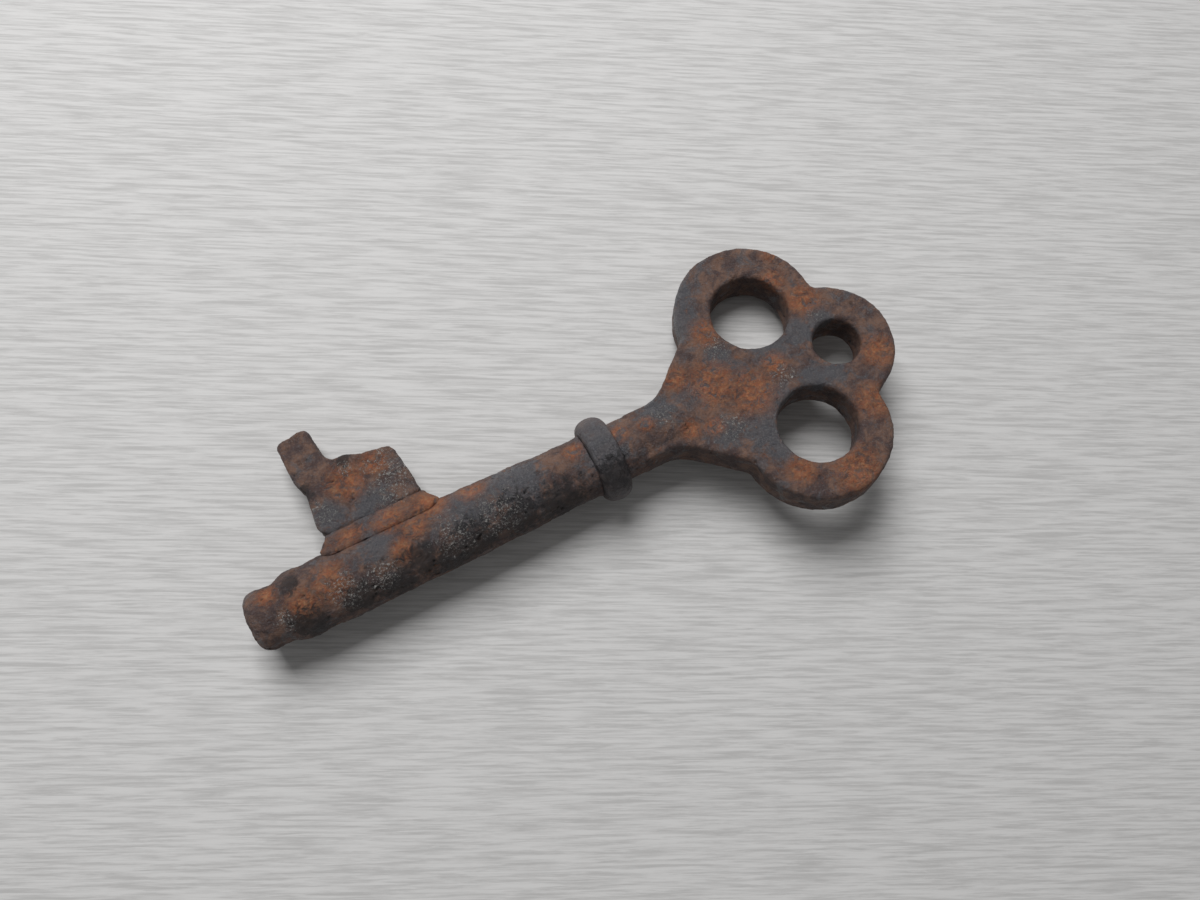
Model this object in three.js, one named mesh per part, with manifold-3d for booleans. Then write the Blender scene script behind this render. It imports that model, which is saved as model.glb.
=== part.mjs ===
// Skeleton key: a bow of three rings on a round neck, a collar, a stem and a bit.
// X runs along the stem from the nose to the bow, Y towards the bit and Z out of the
// bow's face. The origin is the centre of the nose's end face. All sizes are in millimetres.

import * as THREE from "three";
import { mergeVertices } from "three/addons/utils/BufferGeometryUtils.js";
import Module from "manifold-3d";

const wasm = await Module();
wasm.setup();

// Clearance between pieces that fit into each other, filled by braze on the real key
const seatGap = 0.3;

// Stem
const stemLength = 35.1;
const stemRadius = 3.35;
const stemSlimRadius = 3.05;
const stemSlimLength = 13;
const noseFaceRadius = 1.4;
const noseRadius = 2.95;
const noseLength = 1.5;
const grooveRadius = 2.85;
const grooveDistance = 2.9;
const grooveHalfWidth = 1.5;
const flareLength = 1.7;
const flareRadius = 3.3;

// Collar
const collarWidth = 2.9;
const collarRadius = 4.35;
const collarRootRadius = 3.2;

// Tang of the bow, which holds the collar and enters the stem
const tangRadius = 1.6;
const tangDepth = 6.5;

// Bow
const neckRadius = 2.95;
const neckRoundLength = 4;
const neckFadeLength = 6.5;
const neckSpread = 1.2;
const neckInset = 0.3;
const plateThickness = 4.3;
const plateEdgeRound = 0.5;
const rampDistance = 5.7;
const rampAngle = THREE.MathUtils.degToRad(41);
const rampFootRadius = 4;
const rampHeadRadius = 1.2;
const sideRingDistance = 18.55;
const sideRingHeight = 7.25;
const sideRingRadius = 7.3;
const sideHoleDistance = 18.75;
const sideHoleHeight = 6.8;
const sideHoleRadius = 4.0;
const endLobeDistance = 24.15;
const endLobeRadius = 6.6;
const endHoleDistance = 25.0;
const endHoleRadius = 2.45;
const cuspRadius = 0.8;

// Bit, with its heights measured from the stem's axis
const bitThickness = 3.2;
const bitEdgeRound = 0.3;
const bitCornerRound = 0.55;
const bitRootDistance = 9.5;
const bitRootLength = 9.85;
const lugWidth = 3.3;
const lugHeight = 15.8;
const lugLean = 1.2;
const lugCrownFall = 0.5;
const lugCrownRound = 0.85;
const lugFlareRise = 1;
const frontHollowHeight = 9.5;
const frontHollowRise = 1;
const frontHollowDepth = 0.35;
const stepHeight = 11.5;
const stepLength = 2.6;
const stepFilletRun = 0.6;
const stepFilletRise = 1;
const stepEdgeFall = 0.95;
const heelHeight = 10.3;
const heelLean = 0.85;

// Tongue of the bit, which is narrower than the blade all round and stands in the stem
const tongueShoulder = 0.2;
const tongueSeatHeight = 0.9;

// Braze bead round the tongue
const beadLeg = 0.8;
const beadRise = 0.65;
const beadLip = 0.15;
const beadHollow = 0.35;

// Facets
const roundSides = 48;
const arcStep = THREE.MathUtils.degToRad(9);

// A closed solid from any three.js geometry: shared vertices are merged and the
// empty triangles that a revolve leaves on its axis are dropped.
function solid(geometry) {
  const bare = geometry.clone();
  bare.deleteAttribute("normal");
  bare.deleteAttribute("uv");
  const merged = mergeVertices(bare, 1e-4);
  const index = merged.index.array;
  const triangles = [];
  for (let i = 0; i < index.length; i += 3) {
    const [a, b, c] = [index[i], index[i + 1], index[i + 2]];
    if (a !== b && b !== c && c !== a) triangles.push(a, b, c);
  }
  const vertProperties = new Float32Array(merged.attributes.position.array);
  const mesh = new wasm.Mesh({ numProp: 3, vertProperties, triVerts: new Uint32Array(triangles) });
  return new wasm.Manifold(mesh);
}

// The geometry of a finished solid
function geometryOf(manifold) {
  const { vertProperties, triVerts } = manifold.getMesh();
  const geometry = new THREE.BufferGeometry();
  geometry.setAttribute("position", new THREE.BufferAttribute(vertProperties, 3));
  geometry.setIndex(new THREE.BufferAttribute(triVerts, 1));
  geometry.computeVertexNormals();
  return geometry;
}

// A revolve about X of a profile whose points hold distance from the axis and place along it
function revolve(profile) {
  return new THREE.LatheGeometry(profile, roundSides).rotateZ(-Math.PI / 2);
}

// A round bar along X
function bar(radius, from, to) {
  const cylinder = new THREE.CylinderGeometry(radius, radius, to - from, roundSides);
  return cylinder.rotateZ(-Math.PI / 2).translate((from + to) / 2, 0, 0);
}

// A skin over sections with the same number of points. It closes on itself when looped,
// and otherwise ends in flat caps.
function loft(sections, looped) {
  const count = sections[0].length;
  const points = sections.flat();
  const index = [];
  const last = looped ? sections.length : sections.length - 1;
  for (let s = 0; s < last; s++) {
    const here = s * count;
    const next = ((s + 1) % sections.length) * count;
    for (let i = 0; i < count; i++) {
      const j = (i + 1) % count;
      index.push(here + i, here + j, next + j, here + i, next + j, next + i);
    }
  }
  if (!looped) {
    const end = (sections.length - 1) * count;
    for (let i = 1; i < count - 1; i++) {
      index.push(0, i + 1, i, end, end + i, end + i + 1);
    }
  }
  const geometry = new THREE.BufferGeometry().setFromPoints(points);
  geometry.setIndex(index);
  return geometry;
}

// Points along an arc, from one angle to another
function arc(centre, radius, from, to) {
  const steps = Math.max(2, Math.ceil(Math.abs(to - from) / arcStep));
  return Array.from({ length: steps + 1 }, (_, i) => {
    const angle = from + ((to - from) * i) / steps;
    return new THREE.Vector2(radius * Math.cos(angle), radius * Math.sin(angle)).add(centre);
  });
}

// An outline through corners, each rounded by its own radius
function roundedOutline(corners) {
  return corners.flatMap(([x, y, radius], i) => {
    const corner = new THREE.Vector2(x, y);
    if (!radius) return [corner];
    const [bx, by] = corners[(i + corners.length - 1) % corners.length];
    const [ax, ay] = corners[(i + 1) % corners.length];
    const back = new THREE.Vector2(bx, by).sub(corner).normalize();
    const ahead = new THREE.Vector2(ax, ay).sub(corner).normalize();
    const start = back.multiplyScalar(radius).add(corner);
    const end = ahead.multiplyScalar(radius).add(corner);
    return new THREE.QuadraticBezierCurve(start, corner, end).getPoints(4);
  });
}

// A plate lying on the XY plane's two sides, with its edges rounded inside its outline
function plate(outline, holes, thickness, edgeRound, segments) {
  const shape = new THREE.Shape(outline);
  shape.holes = holes;
  const depth = thickness - 2 * edgeRound;
  const geometry = new THREE.ExtrudeGeometry(shape, {
    depth,
    steps: 1,
    curveSegments: roundSides / 2,
    bevelThickness: edgeRound,
    bevelSize: edgeRound,
    bevelOffset: -edgeRound,
    bevelSegments: segments,
  });
  return geometry.translate(0, 0, -depth / 2);
}

// Places along the stem that follow from the sizes above
const collarStart = stemLength;
const neckStart = collarStart + collarWidth;
const bitRootEnd = bitRootDistance + bitRootLength;
const beadTop = stemRadius + seatGap + beadRise;
const bladeFoot = beadTop + seatGap;
const tongueThickness = bitThickness - 2 * tongueShoulder;
const tongueLength = bitRootLength - 2 * tongueShoulder;
const tongueMiddle = bitRootDistance + bitRootLength / 2;

// Half of the bow's outline, from the neck over a side ring to the middle of the end lobe.
// The ramp leaves the neck, and every pair of neighbours is joined by a small arc.
function bowHalfOutline() {
  const ring = new THREE.Vector2(neckStart + sideRingDistance, sideRingHeight);
  const lobe = new THREE.Vector2(neckStart + endLobeDistance, 0);
  const neckEdge = neckRadius - neckInset;
  const rampFoot = new THREE.Vector2(neckStart + rampDistance, neckEdge);
  const along = new THREE.Vector2(Math.cos(rampAngle), Math.sin(rampAngle));
  const across = new THREE.Vector2(-along.y, along.x);

  const footLength = rampFootRadius * Math.tan(rampAngle / 2);
  const footCentre = new THREE.Vector2(rampFoot.x - footLength, neckEdge + rampFootRadius);

  const raisedFoot = rampFoot.clone().addScaledVector(across, rampHeadRadius);
  const offset = raisedFoot.clone().sub(ring);
  const reach = sideRingRadius + rampHeadRadius;
  const slide = offset.dot(along);
  const headDistance = -slide - Math.sqrt(slide ** 2 - offset.lengthSq() + reach ** 2);
  const headCentre = raisedFoot.clone().addScaledVector(along, headDistance);
  const headAngle = ring.clone().sub(headCentre).angle();
  const headEnd = headAngle > Math.PI ? headAngle - 2 * Math.PI : headAngle;

  const ringReach = sideRingRadius + cuspRadius;
  const lobeReach = endLobeRadius + cuspRadius;
  const apart = lobe.clone().sub(ring);
  const span = apart.length();
  const foot = (ringReach ** 2 - lobeReach ** 2 + span ** 2) / (2 * span);
  const rise = Math.sqrt(ringReach ** 2 - foot ** 2);
  const toLobe = apart.divideScalar(span);
  const outward = new THREE.Vector2(-toLobe.y, toLobe.x);
  const cuspCentre = ring.clone().addScaledVector(toLobe, foot).addScaledVector(outward, rise);
  const ringEnd = Math.atan2(cuspCentre.y - ring.y, cuspCentre.x - ring.x);
  const lobeStart = Math.atan2(cuspCentre.y - lobe.y, cuspCentre.x - lobe.x);

  return [
    new THREE.Vector2(neckStart + neckRoundLength / 2, neckEdge),
    ...arc(footCentre, rampFootRadius, -Math.PI / 2, rampAngle - Math.PI / 2),
    ...arc(headCentre, rampHeadRadius, rampAngle - Math.PI / 2, headEnd),
    ...arc(ring, sideRingRadius, headEnd + Math.PI, ringEnd).slice(1),
    ...arc(cuspCentre, cuspRadius, ringEnd + Math.PI, lobeStart + Math.PI).slice(1),
    ...arc(lobe, endLobeRadius, lobeStart, 0).slice(1),
  ];
}

// The neck is round behind the collar and fades into the plate: its sections go from a
// circle to a low, squarer oval that ends inside the plate.
function neckSections() {
  const stations = 9;
  const start = neckStart + neckRoundLength;
  const sections = [];
  for (let s = -1; s <= stations; s++) {
    const share = Math.max(0, s) / stations;
    const fade = THREE.MathUtils.smoothstep(share, 0, 1);
    const x = s < 0 ? neckStart : start + neckFadeLength * share;
    const halfWidth = THREE.MathUtils.lerp(neckRadius, neckRadius * neckSpread, fade);
    const halfHeight = THREE.MathUtils.lerp(neckRadius, plateThickness / 2 - plateEdgeRound / 4, fade);
    const power = THREE.MathUtils.lerp(1, 0.8, fade);
    sections.push(Array.from({ length: roundSides }, (_, i) => {
      const angle = (2 * Math.PI * i) / roundSides;
      const [c, w] = [Math.cos(angle), Math.sin(angle)];
      const y = halfWidth * Math.sign(c) * Math.abs(c) ** power;
      const z = halfHeight * Math.sign(w) * Math.abs(w) ** power;
      return new THREE.Vector3(x, y, z);
    }));
  }
  return sections;
}

function makeBow() {
  const upper = bowHalfOutline();
  const lower = upper.slice(0, -1).reverse().map((p) => new THREE.Vector2(p.x, -p.y));
  const hole = (x, y, radius) => new THREE.Path().absarc(x, y, radius, 0, 2 * Math.PI);
  const holes = [
    hole(neckStart + sideHoleDistance, sideHoleHeight, sideHoleRadius),
    hole(neckStart + sideHoleDistance, -sideHoleHeight, sideHoleRadius),
    hole(neckStart + endHoleDistance, 0, endHoleRadius),
  ];
  const rings = solid(plate([...upper, ...lower], holes, plateThickness, plateEdgeRound, 3));
  const neck = solid(loft(neckSections(), false));
  const tang = solid(bar(tangRadius, collarStart - tangDepth, neckStart + neckRoundLength / 2));
  return geometryOf(rings.add(neck).add(tang));
}

// A bead ring: two flat faces, a bore for the tang and a rounded back
function makeCollar() {
  const bore = tangRadius + seatGap;
  const bead = Array.from({ length: 13 }, (_, i) => {
    const angle = (Math.PI * i) / 12;
    const swell = Math.sin(angle) ** 0.8;
    const x = (collarWidth / 2) * (1 - Math.cos(angle));
    return new THREE.Vector2(collarRootRadius + (collarRadius - collarRootRadius) * swell, x);
  });
  const profile = [new THREE.Vector2(bore, 0), ...bead, new THREE.Vector2(bore, collarWidth)];
  profile.push(profile[0]);
  return geometryOf(solid(revolve(profile).translate(collarStart, 0, 0)));
}

// The stem's profile: a blunt nose, a shallow groove behind it, the full radius along the
// bit, a slim stretch and a flare that meets the collar
function makeStem() {
  const profile = new THREE.Path();
  profile.moveTo(0, 0);
  profile.lineTo(noseFaceRadius, 0);
  profile.quadraticCurveTo(noseRadius, 0, noseRadius, noseLength);
  profile.splineThru([
    new THREE.Vector2(grooveRadius, grooveDistance),
    new THREE.Vector2(stemRadius, grooveDistance + grooveHalfWidth),
    new THREE.Vector2(stemRadius, grooveDistance + 2 * grooveHalfWidth),
  ]);
  profile.lineTo(stemRadius, stemLength - stemSlimLength);
  profile.lineTo(stemSlimRadius, stemLength - flareLength);
  profile.quadraticCurveTo(stemSlimRadius, stemLength, flareRadius, stemLength);
  profile.lineTo(0, stemLength);

  const socket = bar(tangRadius + seatGap, stemLength - tangDepth - seatGap, stemLength + seatGap);
  const slotHeight = stemRadius + seatGap - tongueSeatHeight;
  const slotWidth = tongueThickness + 2 * seatGap;
  const slot = new THREE.BoxGeometry(tongueLength + 2 * seatGap, slotHeight, slotWidth);
  slot.translate(tongueMiddle, tongueSeatHeight + slotHeight / 2, 0);
  const stem = solid(revolve(profile.getPoints(5)));
  return geometryOf(stem.subtract(solid(socket)).subtract(solid(slot)));
}

// The bit is a blade with a tall lug at the nose side, a worn step and a heel. A tongue
// under it stands on the floor of the stem's slot.
function makeBit() {
  const flareFront = bitRootDistance - lugLean / 2;
  const lugFront = bitRootDistance - lugLean;
  const lugBack = lugFront + lugWidth;
  const stepStart = lugBack + stepFilletRise;
  const stepEnd = stepStart + stepLength;
  const heelEnd = bitRootEnd - heelLean;
  const outline = roundedOutline([
    [bitRootDistance, bladeFoot, bitCornerRound],
    [flareFront, bladeFoot + lugFlareRise, bitCornerRound],
    [flareFront + frontHollowDepth, frontHollowHeight, bitCornerRound],
    [lugFront + frontHollowDepth, frontHollowHeight + frontHollowRise, bitCornerRound],
    [lugFront, lugHeight - lugCrownFall, lugCrownRound],
    [lugBack, lugHeight, lugCrownRound],
    [stepStart - stepFilletRun, stepHeight + stepFilletRise, bitCornerRound],
    [stepStart, stepHeight, bitCornerRound],
    [stepEnd - stepEdgeFall, stepHeight, bitCornerRound],
    [stepEnd, (stepHeight + heelHeight) / 2, bitCornerRound],
    [heelEnd, heelHeight, bitCornerRound],
    [bitRootEnd, bladeFoot, bitCornerRound],
  ]);
  const blade = solid(plate(outline, [], bitThickness, bitEdgeRound, 2));
  const tongueHeight = bladeFoot + 2 * bitEdgeRound - tongueSeatHeight;
  const tongue = new THREE.BoxGeometry(tongueLength, tongueHeight, tongueThickness);
  tongue.translate(tongueMiddle, tongueSeatHeight + tongueHeight / 2, 0);
  return geometryOf(blade.add(solid(tongue)));
}

// A bead of braze runs round the tongue. Each station of the loop is a small section that
// leans on the stem's round surface and climbs the tongue's side in a hollow curve.
function makeBead() {
  const halfLength = tongueLength / 2;
  const halfThickness = tongueThickness / 2;
  const corner = 6;
  const flank = 10;
  const nose = 4;
  const sectionAt = (x, z, outX, outZ) => {
    const point = (distance, lip, climb) => {
      const across = z + outZ * (seatGap + distance);
      const surface = Math.sqrt((stemRadius + seatGap) ** 2 - across ** 2) + lip;
      const height = THREE.MathUtils.lerp(surface, beadTop, climb);
      return new THREE.Vector3(x + outX * (seatGap + distance), height, across);
    };
    return [
      point(0, 0, 0),
      point(beadLeg, 0, 0),
      point(beadLeg, beadLip, 0),
      point(beadLeg * beadHollow, 0, 1 - beadHollow),
      point(beadLip, 0, 1),
      point(0, 0, 1),
    ];
  };
  const sections = [];
  for (let side = 0; side < 4; side++) {
    const alongX = side % 2 === 0;
    const sign = side < 2 ? 1 : -1;
    const turn = (side * Math.PI) / 2;
    const steps = alongX ? flank : nose;
    for (let i = 1; i < steps; i++) {
      const share = 1 - (2 * i) / steps;
      const x = alongX ? sign * halfLength * share : -sign * halfLength;
      const z = alongX ? sign * halfThickness : sign * halfThickness * share;
      sections.push(sectionAt(tongueMiddle + x, z, alongX ? 0 : -sign, alongX ? sign : 0));
    }
    const endX = side < 2 ? -halfLength : halfLength;
    const endZ = side === 0 || side === 3 ? halfThickness : -halfThickness;
    for (let k = 0; k <= corner; k++) {
      const angle = Math.PI / 2 + turn + ((Math.PI / 2) * k) / corner;
      sections.push(sectionAt(tongueMiddle + endX, endZ, Math.cos(angle), Math.sin(angle)));
    }
  }
  return geometryOf(solid(loft(sections, true)));
}

const rust = { roughness: 0.85, metalness: 0.35 };
const pieces = [
  ["bow", makeBow(), { color: 0x6a4433, ...rust }],
  ["collar", makeCollar(), { color: 0x3a3a40, roughness: 0.5, metalness: 0.6 }],
  ["stem", makeStem(), { color: 0x5c4034, ...rust }],
  ["bit", makeBit(), { color: 0x5d4b44, ...rust }],
  ["bit_braze", makeBead(), { color: 0xa8602f, ...rust }],
];

const key = new THREE.Group();
for (const [name, geometry, finish] of pieces) {
  const mesh = new THREE.Mesh(geometry, new THREE.MeshStandardMaterial(finish));
  mesh.name = name;
  key.add(mesh);
}

export default key;
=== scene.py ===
# %% [markdown]
# # A rusted skeleton key
#
# The key lies on a pale table and is seen from above. Its pieces come from a fixed frame:
# a bow, a collar, a stem, a bit and the braze round the bit's root. Each is copied,
# meshed finely and corroded by one Geometry Nodes tree, so pits and swellings are real
# geometry, and then gets a rust material that reads Object coordinates in millimetres.
# The material also paints shade as black patches on the stem's and collar's flank that turns away from the lamp.

import bpy
from mathutils import Matrix, Vector


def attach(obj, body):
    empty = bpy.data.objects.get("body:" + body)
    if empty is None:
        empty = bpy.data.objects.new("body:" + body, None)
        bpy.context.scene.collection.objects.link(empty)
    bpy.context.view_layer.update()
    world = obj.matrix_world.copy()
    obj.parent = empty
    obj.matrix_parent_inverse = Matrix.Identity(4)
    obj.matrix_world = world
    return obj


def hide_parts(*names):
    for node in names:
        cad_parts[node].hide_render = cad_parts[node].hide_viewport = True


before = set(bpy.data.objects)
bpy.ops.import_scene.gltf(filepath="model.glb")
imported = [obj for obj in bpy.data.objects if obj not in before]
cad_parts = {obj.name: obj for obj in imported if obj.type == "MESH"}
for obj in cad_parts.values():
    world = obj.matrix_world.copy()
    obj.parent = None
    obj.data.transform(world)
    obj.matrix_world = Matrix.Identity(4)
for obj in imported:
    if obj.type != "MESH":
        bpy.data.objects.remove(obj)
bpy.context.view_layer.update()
MM = 0.001
print("nodes", sorted(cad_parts))

# %% [markdown]
# ## The camera
#
# The photograph looks down on the key, tilted about twenty degrees, with the bow at the
# upper right. The camera's place and turn were fitted to the key's holes and corners.

# %% Camera
IMAGE_WIDTH = 1200
FOCAL_PIXELS = 1000
SENSOR_WIDTH = 36

CAMERA_PLACE = Vector((21.72, -29.64, 92.87)) * MM
CAMERA_RIGHT = Vector((0.8925, -0.4510, -0.0047))
CAMERA_BACK = Vector((-0.1516, -0.3098, 0.9387))


def make_camera():
    """A camera whose axes are given by its right and its back direction."""
    back = CAMERA_BACK.normalized()
    up = back.cross(CAMERA_RIGHT).normalized()
    right = up.cross(back)
    data = bpy.data.cameras.new("camera")
    data.sensor_width = SENSOR_WIDTH
    data.lens = FOCAL_PIXELS * SENSOR_WIDTH / IMAGE_WIDTH
    data.clip_start = MM
    camera = bpy.data.objects.new("camera", data)
    turn = Matrix((right, up, back)).transposed().to_4x4()
    camera.matrix_world = Matrix.Translation(CAMERA_PLACE) @ turn
    bpy.context.collection.objects.link(camera)
    bpy.context.scene.camera = camera
    return camera, right, up


camera, photo_right, photo_up = make_camera()
bpy.context.scene.view_settings.view_transform = "Standard"
print("lens", round(camera.data.lens, 2), "mm")

# %% [markdown]
# ## Fine copies of the pieces
#
# A corroded surface needs many small faces. A voxel remesh gives them evenly, whatever
# triangles the copy starts from. The copy's loose triangles are merged first.

# %% Fine mesh
import bmesh

BEAD_DROP = 0.4 * MM
BEAD_TUCK = 0.42 * MM


def run_out(vertices):
    """Draw the bead's edges in, so that it runs out on the stem and on the bit's side."""
    middle = [(max(v.co[i] for v in vertices) + min(v.co[i] for v in vertices)) / 2 for i in range(3)]
    reach = [max(abs(v.co[i] - middle[i]) for v in vertices) for i in range(3)]
    for vertex in vertices:
        away = vertex.co - Vector(middle)
        level = Vector((vertex.normal.x, 0, vertex.normal.z))
        below_top = reach[1] - away.y
        inside = min(reach[0] - abs(away.x), reach[2] - abs(away.z))
        if level.dot(away) > 0:
            vertex.co -= level * BEAD_TUCK * max(0.0, 1 - below_top / MM)
        vertex.co.y -= BEAD_DROP * max(0.0, 1 - inside / MM)


def fine_copy(node, voxel, grow=0.0):
    """A merged copy of a CAD node, swollen by grow and remeshed to even quads."""
    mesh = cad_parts[node].data.copy()
    work = bmesh.new()
    work.from_mesh(mesh)
    bmesh.ops.remove_doubles(work, verts=work.verts, dist=MM * 0.002)
    work.normal_update()
    for vertex in work.verts:
        vertex.co += vertex.normal * grow
    if node == "bit_braze":
        run_out(work.verts)
    work.to_mesh(mesh)
    work.free()
    piece = bpy.data.objects.new(node + "_skin", mesh)
    bpy.context.collection.objects.link(piece)
    remesh = piece.modifiers.new("even", "REMESH")
    remesh.mode = "VOXEL"
    remesh.voxel_size = voxel
    remesh.use_smooth_shade = True
    return piece


def bake_modifiers(piece):
    """Turn the evaluated piece into a plain mesh and drop its modifiers."""
    depsgraph = bpy.context.evaluated_depsgraph_get()
    plain = bpy.data.meshes.new_from_object(piece.evaluated_get(depsgraph))
    piece.modifiers.clear()
    piece.data = plain
    plain.name = piece.name
    return piece


# %% [markdown]
# ## Corrosion as geometry
#
# Rust lifts the surface in blisters and eats pits into it. Both follow the surface, so a
# Geometry Nodes tree moves each point along its normal: a slow noise for the blisters, a
# sharp one for the pits and a fine one for the grain. The pit depth is kept as an
# attribute, which the material reads to darken the pits.

# %% The corrosion tree
def corrosion_tree():
    """Geometry Nodes that swell, pit and grain a surface, with sizes in millimetres."""
    tree = bpy.data.node_groups.new("corrosion", "GeometryNodeTree")
    face = tree.interface
    face.new_socket("Geometry", in_out="INPUT", socket_type="NodeSocketGeometry")
    for name, value in (("Swell", 0.10), ("Pit depth", 0.22), ("Pit size", 1.0), ("Grain", 0.03), ("Seed", 0.0)):
        socket = face.new_socket(name, in_out="INPUT", socket_type="NodeSocketFloat")
        socket.default_value = value
    face.new_socket("Material", in_out="INPUT", socket_type="NodeSocketMaterial")
    face.new_socket("Geometry", in_out="OUTPUT", socket_type="NodeSocketGeometry")
    nodes, links = tree.nodes, tree.links
    given, out = nodes.new("NodeGroupInput"), nodes.new("NodeGroupOutput")

    def math(operation, first, second=None):
        node = nodes.new("ShaderNodeMath")
        node.operation = operation
        for socket, value in zip(node.inputs, (first, second)):
            if isinstance(value, bpy.types.NodeSocket):
                links.new(value, socket)
            elif value is not None:
                socket.default_value = value
        return node.outputs[0]

    place = nodes.new("ShaderNodeVectorMath")
    place.operation = "SCALE"
    place.inputs["Scale"].default_value = 1 / MM
    links.new(nodes.new("GeometryNodeInputPosition").outputs[0], place.inputs[0])
    shifted = nodes.new("ShaderNodeVectorMath")
    shifted.operation = "ADD"
    links.new(place.outputs[0], shifted.inputs[0])
    links.new(given.outputs["Seed"], shifted.inputs[1])

    def noise(scale, detail, rough):
        node = nodes.new("ShaderNodeTexNoise")
        node.inputs["Detail"].default_value = detail
        node.inputs["Roughness"].default_value = rough
        links.new(shifted.outputs[0], node.inputs["Vector"])
        if isinstance(scale, bpy.types.NodeSocket):
            links.new(scale, node.inputs["Scale"])
        else:
            node.inputs["Scale"].default_value = scale
        return node.outputs[0]

    blister = math("MULTIPLY", math("SUBTRACT", noise(0.45, 4, 0.6), 0.5), given.outputs["Swell"])
    pit_noise = noise(given.outputs["Pit size"], 6, 0.7)
    pit = nodes.new("ShaderNodeMapRange")
    pit.interpolation_type = "SMOOTHSTEP"
    pit.inputs["From Min"].default_value = 0.60
    pit.inputs["From Max"].default_value = 0.74
    links.new(pit_noise, pit.inputs["Value"])
    hollow = math("MULTIPLY", pit.outputs[0], given.outputs["Pit depth"])
    grain = math("MULTIPLY", math("SUBTRACT", noise(2.2, 5, 0.7), 0.5), given.outputs["Grain"])
    lift = math("ADD", math("SUBTRACT", blister, hollow), grain)

    offset = nodes.new("ShaderNodeVectorMath")
    offset.operation = "SCALE"
    links.new(nodes.new("GeometryNodeInputNormal").outputs[0], offset.inputs[0])
    links.new(math("MULTIPLY", lift, 2 * MM), offset.inputs["Scale"])
    keep = nodes.new("GeometryNodeStoreNamedAttribute")
    keep.inputs["Name"].default_value = "pit"
    links.new(given.outputs["Geometry"], keep.inputs["Geometry"])
    links.new(pit.outputs[0], keep.inputs["Value"])
    move = nodes.new("GeometryNodeSetPosition")
    links.new(keep.outputs[0], move.inputs["Geometry"])
    links.new(offset.outputs[0], move.inputs["Offset"])
    real = nodes.new("GeometryNodeRealizeInstances")
    links.new(move.outputs[0], real.inputs[0])
    paint = nodes.new("GeometryNodeSetMaterial")
    links.new(real.outputs[0], paint.inputs["Geometry"])
    links.new(given.outputs["Material"], paint.inputs["Material"])
    links.new(paint.outputs[0], out.inputs[0])
    return tree


CORROSION = corrosion_tree()
SOCKETS = {item.name: item.identifier for item in CORROSION.interface.items_tree if item.in_out == "INPUT"}


def corrode(piece, material, **sizes):
    """Put the corrosion tree on a piece, set its named inputs and bake it."""
    piece.data.materials.clear()
    piece.data.materials.append(material)
    modifier = piece.modifiers.new("corrosion", "NODES")
    modifier.node_group = CORROSION
    modifier[SOCKETS["Material"]] = material
    for name, value in sizes.items():
        modifier[SOCKETS[name.replace("_", " ")]] = value
    return bake_modifiers(piece)


# %% [markdown]
# ## Rust and painted shade as a material
#
# The key's colour comes in layers: a brown base, blue-grey bare patina on the parts that
# hands rub, orange blooms, pale speckles, black pits, and black patches that are a few dark
# spots and painted shade on the stem's and collar's flank that turns away from the lamp.
# Where each layer lies is partly noise and partly a list of patches seen in the photograph.
# The patch mask is a shader group, placed once for each patch with its own centre and size.

# %% Patch group
def patch_group():
    """A soft round mask with a ragged edge, centred in millimetres."""
    group = bpy.data.node_groups.new("patch", "ShaderNodeTree")
    face = group.interface
    face.new_socket("Place", in_out="INPUT", socket_type="NodeSocketVector")
    face.new_socket("Ragged", in_out="INPUT", socket_type="NodeSocketFloat")
    face.new_socket("Centre", in_out="INPUT", socket_type="NodeSocketVector")
    face.new_socket("Radius", in_out="INPUT", socket_type="NodeSocketFloat")
    face.new_socket("Mask", in_out="OUTPUT", socket_type="NodeSocketFloat")
    nodes, links = group.nodes, group.links
    given, out = nodes.new("NodeGroupInput"), nodes.new("NodeGroupOutput")
    away = nodes.new("ShaderNodeVectorMath")
    away.operation = "DISTANCE"
    links.new(given.outputs["Place"], away.inputs[0])
    links.new(given.outputs["Centre"], away.inputs[1])
    share = nodes.new("ShaderNodeMath")
    share.operation = "DIVIDE"
    links.new(away.outputs["Value"], share.inputs[0])
    links.new(given.outputs["Radius"], share.inputs[1])
    torn = nodes.new("ShaderNodeMath")
    torn.operation = "ADD"
    links.new(share.outputs[0], torn.inputs[0])
    links.new(given.outputs["Ragged"], torn.inputs[1])
    soft = nodes.new("ShaderNodeMapRange")
    soft.interpolation_type = "SMOOTHSTEP"
    soft.inputs["From Min"].default_value = 1.15
    soft.inputs["From Max"].default_value = 0.55
    links.new(torn.outputs[0], soft.inputs["Value"])
    links.new(soft.outputs[0], out.inputs["Mask"])
    return group


PATCH = patch_group()

# %% [markdown]
# Patches are given by where they lie on the key, in millimetres from the nose: along the
# stem, towards the bit and out of the upper face, then a radius.

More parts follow.
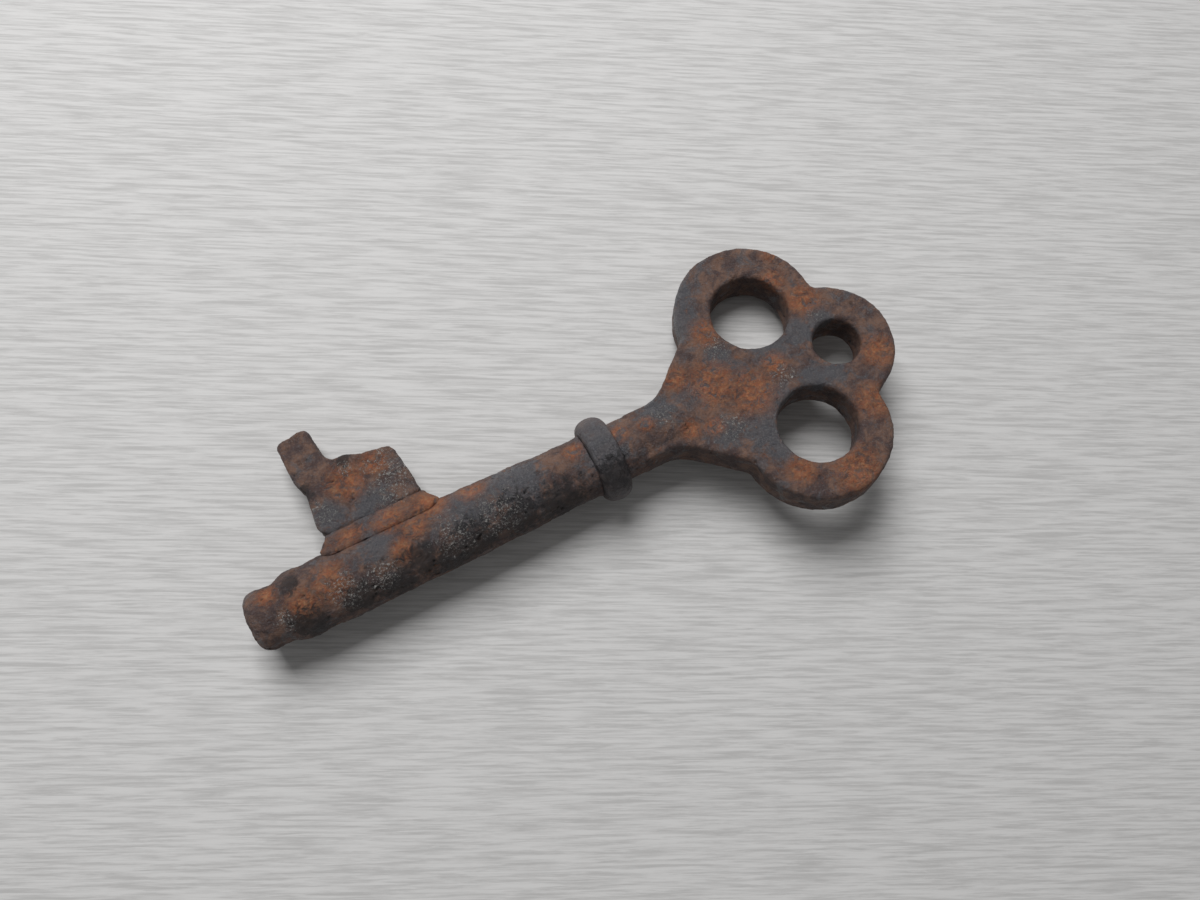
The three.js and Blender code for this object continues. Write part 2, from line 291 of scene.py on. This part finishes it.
# %% Patches seen in the photograph
ORANGE = [
    ((19.5, 2.6, 2.2), 2.3), ((15.5, 2.9, 2.0), 2.0), ((11.5, 3.0, 1.8), 1.6), ((23.5, 2.2, 2.4), 1.8),
    ((8.5, -0.4, 3.2), 2.2), ((5.5, -1.2, 3.0), 1.9), ((15.6, -0.6, 3.2), 1.5), ((17.3, 0.9, 3.1), 1.4),
    ((2.6, 1.4, 2.4), 1.4), ((33.9, 1.2, 2.9), 1.3), ((38.6, 0.8, 2.9), 1.2), ((41.5, 0.4, 2.8), 1.0),
    ((45.2, -1.8, 2.3), 1.2), ((47.5, -2.6, 2.1), 1.2), ((49.5, 1.5, 2.1), 3.0), ((52.5, -1.0, 2.1), 3.0),
    ((46.5, 3.6, 1.8), 1.6), ((51.5, 6.8, 2.0), 1.8), ((62.2, 5.6, 2.1), 2.2), ((60.5, 8.8, 2.0), 1.6),
    ((61.8, 11.6, 1.6), 1.2), ((66.0, -2.8, 2.0), 2.2), ((62.8, -7.2, 2.0), 2.2), ((57.5, -12.6, 2.0), 3.0),
    ((52.8, -10.2, 2.0), 1.8), ((13.2, 8.6, 1.6), 2.3), ((16.2, 9.2, 1.6), 1.7), ((56.0, 0.6, 2.1), 1.6),
]
PATINA = [
    ((22.5, 0.4, 3.0), 3.0), ((27.5, 0.6, 3.0), 3.4), ((13.5, 1.0, 3.2), 2.0), ((10.6, 6.0, 1.6), 2.0),
    ((14.5, 5.2, 1.6), 2.4), ((49.8, 9.2, 1.8), 2.6), ((51.2, 12.2, 1.8), 2.2), ((51.2, 3.6, 2.1), 1.6),
    ((56.5, 2.2, 2.1), 2.2), ((60.0, 2.6, 2.1), 1.8), ((62.5, 2.9, 2.1), 1.8), ((54.5, -3.2, 2.1), 2.2),
    ((51.5, -5.2, 2.1), 2.6), ((48.0, -3.6, 2.1), 1.8), ((58.8, -2.6, 2.1), 1.8), ((43.0, 1.4, 2.6), 2.0),
    ((47.5, 1.2, 2.3), 1.5), ((36.5, 0.0, 4.0), 3.4), ((60.8, -3.0, 2.1), 1.5), ((52.0, -7.8, 2.0), 1.4),
]
SPECKLE = [
    ((17.4, 7.6, 1.6), 2.7), ((16.2, 5.6, 1.6), 1.6), ((9.9, 6.6, 1.6), 1.4), ((9.6, -1.7, 2.7), 1.8),
    ((20.5, -1.3, 3.0), 2.2), ((25.0, -1.2, 3.0), 2.4), ((13.0, -1.9, 2.8), 1.7), ((51.8, 4.6, 2.1), 1.5),
    ((48.9, -3.4, 2.1), 1.5), ((43.4, 0.6, 2.8), 1.4), ((56.3, -0.9, 2.1), 1.3), ((62.5, 3.4, 2.1), 1.0),
    ((3.6, -1.5, 2.3), 1.2), ((13.6, 9.9, 1.6), 0.8), ((17.0, 10.4, 1.6), 0.7), ((66.0, -8.5, 2.0), 1.2),
]
# Black patches: a few small dark spots on the upper faces, the bit and the bow, and painted shade along the
# stem's and collar's flank that turns away from the lamp (y about -2.4 to -3.2).
DARK_SPOTS_AND_SHADE = [
    ((22.0, -2.6, 2.2), 2.6), ((26.5, -2.4, 2.2), 2.6), ((17.0, -2.0, 2.8), 1.8), ((10.5, -2.8, 2.0), 2.0),
    ((4.6, -2.2, 2.1), 1.5), ((36.5, -3.0, 3.0), 2.2), ((30.5, -2.6, 1.6), 2.6), ((4.2, -1.3, 2.6), 0.6),
    ((5.0, 1.2, 3.0), 1.0), ((8.9, 9.2, 1.5), 1.3), ((13.8, 11.0, 1.5), 0.9), ((62.6, 12.0, 1.2), 0.6),
    ((14.0, -3.1, 1.6), 2.4), ((19.5, -3.2, 1.4), 2.6), ((31.0, -3.0, 1.2), 3.0), ((5.5, -2.9, 1.4), 2.0),
]
print("patches", len(ORANGE) + len(PATINA) + len(SPECKLE) + len(DARK_SPOTS_AND_SHADE))

# %% Node helper
class Painter:
    """Short calls for the nodes of one material."""

    def __init__(self, name):
        self.material = bpy.data.materials.new(name)
        self.material.use_nodes = True
        self.nodes = self.material.node_tree.nodes
        self.links = self.material.node_tree.links
        self.shader = self.nodes["Principled BSDF"]
        place = self.nodes.new("ShaderNodeTexCoord").outputs["Object"]
        scale = self.nodes.new("ShaderNodeVectorMath")
        scale.operation = "SCALE"
        scale.inputs["Scale"].default_value = 1 / MM
        self.links.new(place, scale.inputs[0])
        self.place = scale.outputs[0]

    def put(self, value, socket):
        if isinstance(value, bpy.types.NodeSocket):
            self.links.new(value, socket)
        else:
            socket.default_value = value

    def math(self, operation, first, second=0.0, clamp=False):
        node = self.nodes.new("ShaderNodeMath")
        node.operation = operation
        node.use_clamp = clamp
        self.put(first, node.inputs[0])
        self.put(second, node.inputs[1])
        return node.outputs[0]

    def noise(self, scale, detail=4.0, rough=0.6, distortion=0.0):
        node = self.nodes.new("ShaderNodeTexNoise")
        self.links.new(self.place, node.inputs["Vector"])
        node.inputs["Scale"].default_value = scale
        node.inputs["Detail"].default_value = detail
        node.inputs["Roughness"].default_value = rough
        node.inputs["Distortion"].default_value = distortion
        return node.outputs[0]

    def ramp(self, value, low, high):
        node = self.nodes.new("ShaderNodeMapRange")
        node.interpolation_type = "SMOOTHSTEP"
        node.inputs["From Min"].default_value = low
        node.inputs["From Max"].default_value = high
        self.put(value, node.inputs["Value"])
        return node.outputs[0]

    def mix(self, share, first, second):
        node = self.nodes.new("ShaderNodeMix")
        node.data_type = "RGBA"
        self.put(share, node.inputs["Factor"])
        self.put(first, node.inputs[6])
        self.put(second, node.inputs[7])
        return node.outputs[2]

    def patches(self, places, ragged):
        """The largest of the masks of all the patches in a list."""
        total = 0.0
        for centre, radius in places:
            node = self.nodes.new("ShaderNodeGroup")
            node.node_tree = PATCH
            self.put(self.place, node.inputs["Place"])
            self.put(ragged, node.inputs["Ragged"])
            node.inputs["Centre"].default_value = centre
            node.inputs["Radius"].default_value = radius
            mask = node.outputs["Mask"]
            total = self.math("MAXIMUM", total, mask)
        return total


# %% [markdown]
# The dark brown base is itself a mix: maroon in the hollows of a broad noise, brown on its
# crests, and steel-grey flecks. Over it come patina, orange, black and pale layers, each a
# patch mask cut up by finer noise, so no layer has a plain round edge. The black layer is a
# few dark spots and painted shade along the stem's and collar's flank that turns away from the lamp.

# %% Rust colours
MAROON = (0.052, 0.030, 0.028, 1)
BROWN = (0.150, 0.082, 0.056, 1)
BLUE_GREY = (0.085, 0.088, 0.100, 1)
STEEL = (0.150, 0.152, 0.158, 1)
RUST = (0.290, 0.086, 0.030, 1)
OCHRE = (0.350, 0.168, 0.074, 1)
PALE = (0.430, 0.420, 0.400, 1)
BLACK = (0.010, 0.008, 0.009, 1)


def near(places, low, high):
    """The patches that reach into the stretch of the key from low to high."""
    return [(centre, radius) for centre, radius in places
            if centre[0] - radius < high and centre[0] + radius > low]


def rust_and_shade_layers(paint, low, high, rusty, rubbed):
    """The masks of the layers, each from 0 to 1."""
    ragged = paint.math("MULTIPLY", paint.math("SUBTRACT", paint.noise(1.3, 6, 0.7, 0.5), 0.5), 3.0)
    torn = paint.ramp(paint.noise(1.3, 7, 0.72, 0.6), 0.34, 0.60)
    patina = paint.patches(near(PATINA, low, high), ragged)
    wide = paint.ramp(paint.noise(0.45, 6, 0.7, 0.8), 0.55 - rubbed, 0.66 - rubbed)
    patina = paint.math("MAXIMUM", patina, paint.math("MULTIPLY", wide, 0.7))
    orange = paint.math("MULTIPLY", paint.patches(near(ORANGE, low, high), ragged), torn)
    small = paint.ramp(paint.noise(1.5, 7, 0.75, 0.8), 0.60 - rusty, 0.72 - rusty)
    orange = paint.math("MAXIMUM", orange, paint.math("MULTIPLY", small, 0.7))
    grains = paint.ramp(paint.noise(4.6, 5, 0.8, 0.4), 0.53, 0.60)
    pale = paint.math("MULTIPLY", paint.patches(near(SPECKLE, low, high), ragged), grains)
    # Painted shade: this black layer darkens the stem's and collar's flank away from the lamp, besides a few
    # real dark spots.
    dark_spots_and_shade = paint.patches(near(DARK_SPOTS_AND_SHADE, low, high), ragged)
    return patina, orange, pale, dark_spots_and_shade


# %% Rust material
def rust_and_shade_colour(paint, patina, orange, pale, dark_spots_and_shade):
    """The base colour: a brown mix with every layer over it."""
    fine = paint.noise(5.5, 6, 0.75)
    base = paint.mix(paint.ramp(paint.noise(0.6, 7, 0.7, 0.6), 0.40, 0.64), MAROON, BROWN)
    base = paint.mix(paint.math("MULTIPLY", paint.ramp(fine, 0.50, 0.70), 0.5), base, STEEL)
    grey = paint.mix(paint.ramp(fine, 0.46, 0.66), BLUE_GREY, STEEL)
    colour = paint.mix(paint.math("MULTIPLY", patina, 0.85), base, grey)
    glow = paint.mix(paint.ramp(paint.noise(2.8, 6, 0.75), 0.44, 0.64), RUST, OCHRE)
    colour = paint.mix(paint.math("MULTIPLY", orange, 0.75), colour, glow)
    # Painted shade and dark spots: the black patch layer is mixed into the colour here.
    colour = paint.mix(paint.math("MULTIPLY", dark_spots_and_shade, 0.8), colour, BLACK)
    colour = paint.mix(paint.math("MULTIPLY", pale, 0.8), colour, PALE)
    pit = paint.nodes.new("ShaderNodeAttribute")
    pit.attribute_name = "pit"
    return paint.mix(paint.math("MULTIPLY", pit.outputs["Fac"], 0.75), colour, BLACK)


def rust_and_shade_material(name, low, high, rusty=0.0, rubbed=0.0):
    """Layers of rust over iron, with painted shade on the flank away from the lamp, for the stretch of the key
    from low to high.
    """
    paint = Painter(name)
    patina, orange, pale, dark_spots_and_shade = rust_and_shade_layers(paint, low, high, rusty, rubbed)
    paint.put(rust_and_shade_colour(paint, patina, orange, pale, dark_spots_and_shade), paint.shader.inputs["Base Color"])

    rough = paint.math("SUBTRACT", 0.70, paint.math("MULTIPLY", patina, 0.32))
    rough = paint.math("ADD", rough, paint.math("MULTIPLY", orange, 0.25), clamp=True)
    paint.put(rough, paint.shader.inputs["Roughness"])
    metal = paint.math("MULTIPLY", patina, paint.math("SUBTRACT", 1.0, orange, clamp=True))
    paint.put(paint.math("MULTIPLY", metal, 0.4), paint.shader.inputs["Metallic"])

    crust = paint.math("MULTIPLY", paint.noise(6.0, 6, 0.8), 0.5)
    height = paint.math("ADD", paint.noise(1.8, 7, 0.7, 0.5), crust)
    height = paint.math("ADD", height, paint.math("MULTIPLY", orange, 0.35))
    height = paint.math("ADD", height, paint.math("MULTIPLY", pale, 0.25))
    bump = paint.nodes.new("ShaderNodeBump")
    bump.inputs["Strength"].default_value = 0.8
    bump.inputs["Distance"].default_value = 0.42 * MM
    paint.put(height, bump.inputs["Height"])
    paint.put(bump.outputs[0], paint.shader.inputs["Normal"])
    return paint.material


# %% [markdown]
# ## The pieces
#
# Every piece rides the root body. The braze bead is swollen a little so that
# it closes the clearance to the stem and the bit, as filler does.

# %% Make the pieces
BLEND = 0.3 * MM
PIECES = {
    "bow": dict(slot="rusted_iron", span=(37, 70), voxel=0.15, rusty=0.02, rubbed=0.03,
                sizes=dict(Swell=0.16, Pit_depth=0.14, Grain=0.07)),
    "collar": dict(slot="collar_iron", span=(34, 39), voxel=0.15, rusty=-0.06, rubbed=0.2,
                   sizes=dict(Swell=0.10, Pit_depth=0.10, Grain=0.03)),
    "stem": dict(slot="rusted_iron", span=(-1, 36), voxel=0.16, rusty=0.02, rubbed=0.02,
                 sizes=dict(Swell=0.30, Pit_depth=0.24, Grain=0.10)),
    "bit": dict(slot="rusted_iron", span=(7, 21), voxel=0.12, rusty=0.0, rubbed=0.02,
                sizes=dict(Swell=0.24, Pit_depth=0.18, Grain=0.08)),
    "bit_braze": dict(slot="braze", span=(7, 22), voxel=0.12, rusty=0.10, rubbed=-0.1, grow=BLEND,
                      sizes=dict(Swell=0.30, Pit_depth=0.14, Grain=0.10)),
}

for node, made in PIECES.items():
    material = rust_and_shade_material(node + "_rust", *made["span"], rusty=made["rusty"], rubbed=made["rubbed"])
    piece = fine_copy(node, made["voxel"] * MM, made.get("grow", 0.0))
    corrode(piece, material, **made["sizes"])
    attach(piece, "root")
    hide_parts(node)
    print(piece.name, len(piece.data.polygons), "faces")

# %% [markdown]
# ## Table, light and air
#
# The key has rolled onto its bit's side: it rests on the lug's tip, on the rim of one
# large ring and on the collar, and the table is the plane through those three. Light
# falls from the top of the picture, soft and wide, as from a window.

# %% Table
LUG_CONTACT = Vector((9.0, 15.6, -1.6)) * MM
RING_CONTACT = Vector((56.5, 14.5, -2.15)) * MM
COLLAR_CONTACT = Vector((36.55, 0.71, -4.29)) * MM
TABLE_SIZE = 1.2
TABLE_LIGHT = (0.54, 0.535, 0.53, 1)
TABLE_DARK = (0.40, 0.395, 0.39, 1)
STREAK_LENGTH = 7.0
STREAK_WIDTH = 0.33


def table_material(turn):
    """Pale boards with fine streaks that run along the table's own X."""
    paint = Painter("pale_table")
    stretch = paint.nodes.new("ShaderNodeMapping")
    stretch.vector_type = "TEXTURE"
    stretch.inputs["Rotation"].default_value = turn.to_euler()
    stretch.inputs["Scale"].default_value = (STREAK_LENGTH, STREAK_WIDTH, 1.0)
    paint.put(paint.place, stretch.inputs["Vector"])
    paint.place = stretch.outputs[0]
    streaks = paint.ramp(paint.noise(1.0, 6, 0.7, 0.3), 0.34, 0.62)
    paint.put(paint.mix(streaks, TABLE_DARK, TABLE_LIGHT), paint.shader.inputs["Base Color"])
    paint.put(0.75, paint.shader.inputs["Roughness"])
    return paint.material


def make_table():
    """A pale plane through the three places where the key rests."""
    up = (COLLAR_CONTACT - LUG_CONTACT).cross(RING_CONTACT - LUG_CONTACT).normalized()
    right = (photo_right - up * photo_right.dot(up)).normalized()
    away = up.cross(right)
    mesh = bpy.data.meshes.new("table")
    corners = [COLLAR_CONTACT + (right * x + away * y) * TABLE_SIZE / 2 - up * 0.08 * MM
               for x, y in ((-1, -1), (1, -1), (1, 1), (-1, 1))]
    mesh.from_pydata(corners, [], [(0, 1, 2, 3)])
    table = bpy.data.objects.new("table", mesh)
    bpy.context.collection.objects.link(table)
    mesh.materials.append(table_material(Matrix((right, away, up)).transposed()))
    return up


table_up = make_table()

# %% Light
WINDOW_DISTANCE = 0.4
WINDOW_SIZE = 0.22
WINDOW_POWER = 1.85
SKY = 0.22


def make_light():
    """A wide lamp at the picture's top left, and an even sky."""
    towards = (photo_up * 0.75 - photo_right * 0.35 + table_up).normalized()
    data = bpy.data.lights.new("window", "AREA")
    data.size = WINDOW_SIZE
    data.energy = WINDOW_POWER
    lamp = bpy.data.objects.new("window", data)
    lamp.matrix_world = towards.to_track_quat("Z", "Y").to_matrix().to_4x4()
    lamp.location = Vector((35, 0, 0)) * MM + towards * WINDOW_DISTANCE
    bpy.context.collection.objects.link(lamp)
    world = bpy.data.worlds.new("sky")
    bpy.context.scene.world = world
    world.use_nodes = True
    nodes, links = world.node_tree.nodes, world.node_tree.links
    sky = nodes["Background"]
    sky.inputs["Color"].default_value = (1, 1, 1, 1)
    path = nodes.new("ShaderNodeLightPath")
    strength = nodes.new("ShaderNodeMapRange")
    strength.inputs["To Min"].default_value = SKY
    strength.inputs["To Max"].default_value = 0.9
    links.new(path.outputs["Is Camera Ray"], strength.inputs["Value"])
    links.new(strength.outputs[0], sky.inputs["Strength"])


make_light()
